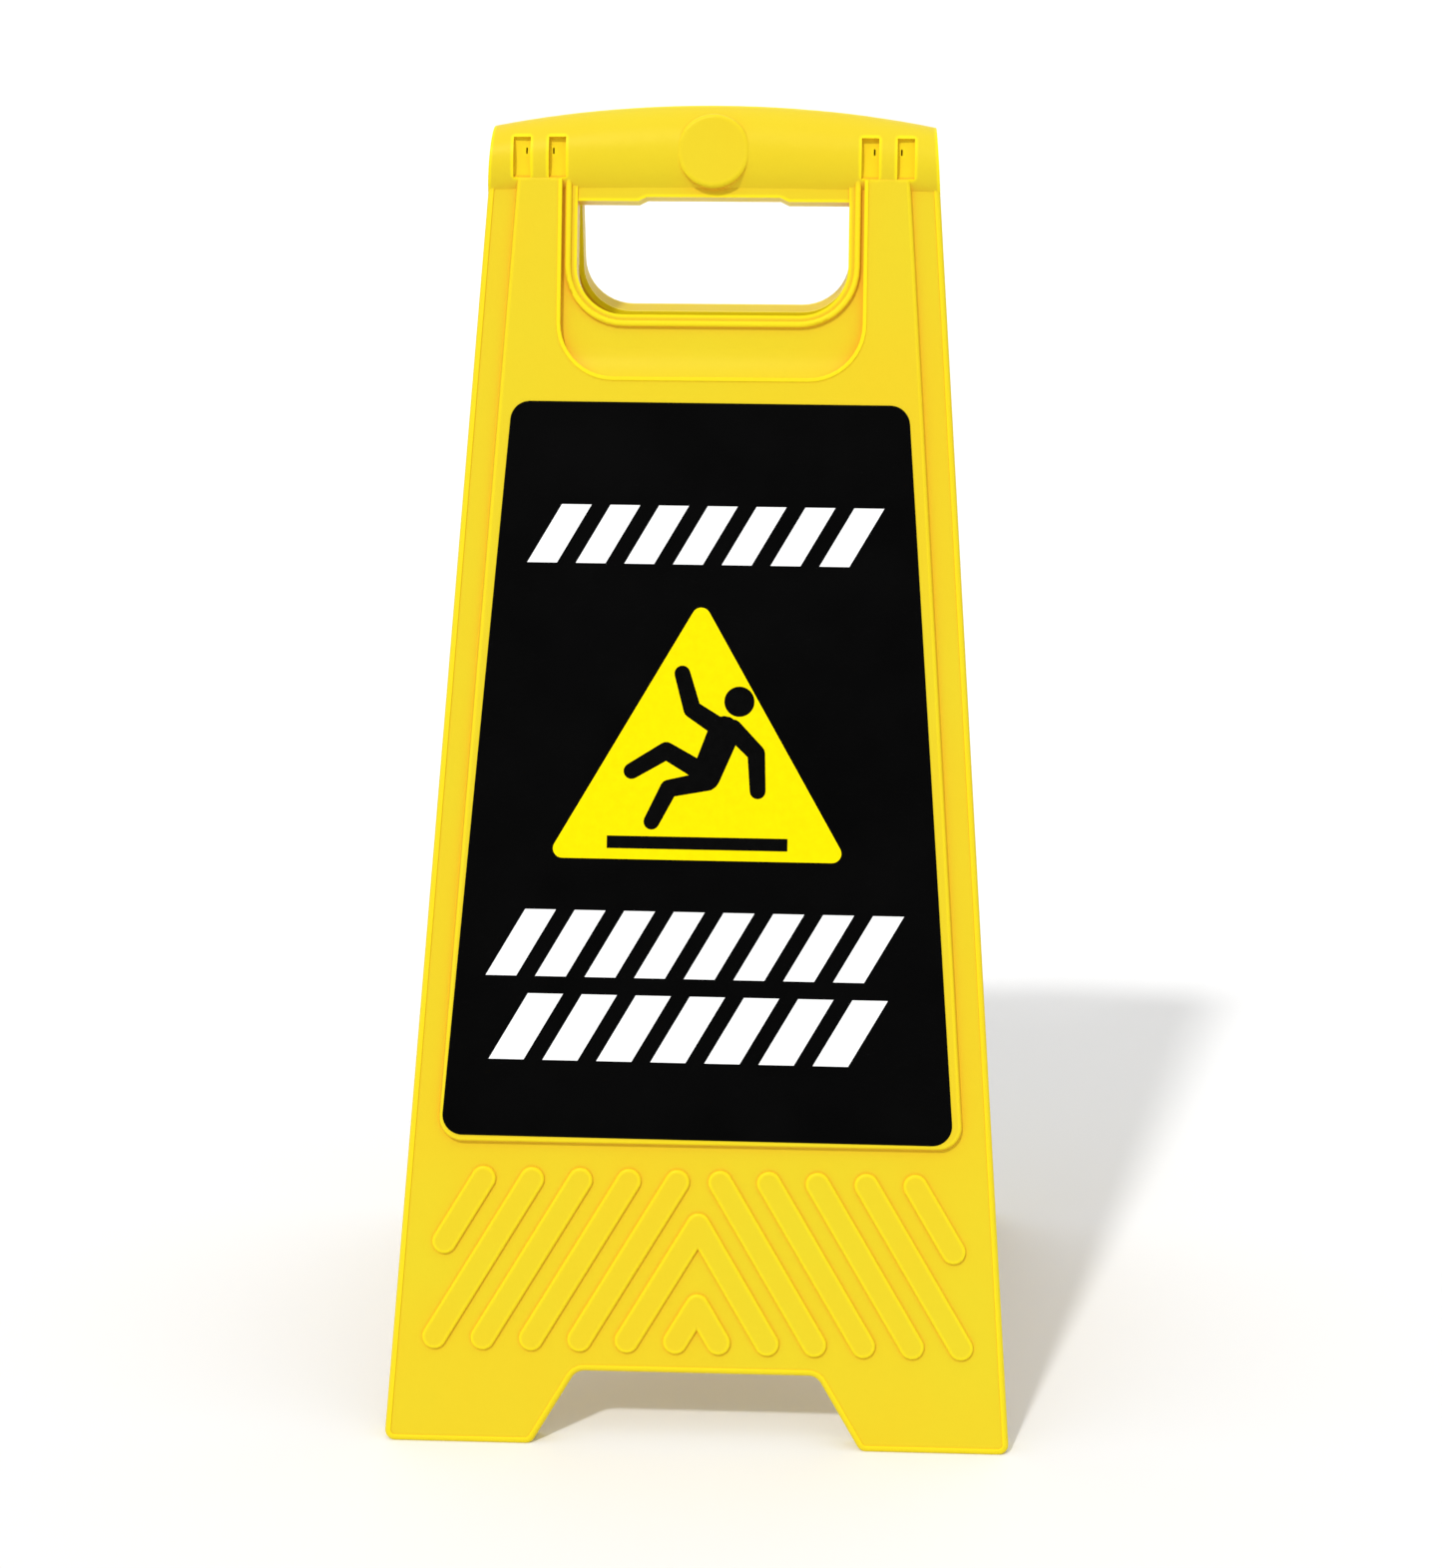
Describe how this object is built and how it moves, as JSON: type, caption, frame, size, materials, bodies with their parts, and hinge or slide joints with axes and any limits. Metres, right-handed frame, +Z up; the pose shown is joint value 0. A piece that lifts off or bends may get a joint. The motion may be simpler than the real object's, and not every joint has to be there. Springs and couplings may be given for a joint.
{
  "type": "wet floor sign",
  "caption": "Folding A-frame floor sign: moulded yellow panels hinged inside a half-round carry handle, each with a hand opening, chevron ribs, notched feet and a printed message label.",
  "frame": {"origin": "on the floor, under the hinge, midway between the feet", "axes": "+Z up, -Y out of the front panel, +X to the right seen from the front"},
  "size_m": [0.2992, 0.313, 0.6243],
  "materials": {
    "panel_plastic": "injection-moulded yellow polypropylene, fine moulded sheen",
    "label_film": "black printed vinyl film",
    "pin_steel": "zinc-plated"
  },
  "bodies": {
    "front": {"front_panel": "panel_plastic", "front_label": "label_film"},
    "rear": {"rear_panel": "panel_plastic", "rear_label": "label_film", "hinge_pin_left": "pin_steel", "hinge_pin_right": "pin_steel"}
  },
  "joints": [
    {"name": "fold", "type": "hinge", "parent": "front", "child": "rear", "pos_m": [0, 0, 0.60007], "axis": [-1, 0, 0], "range_deg": [0, 27]}
  ]
}
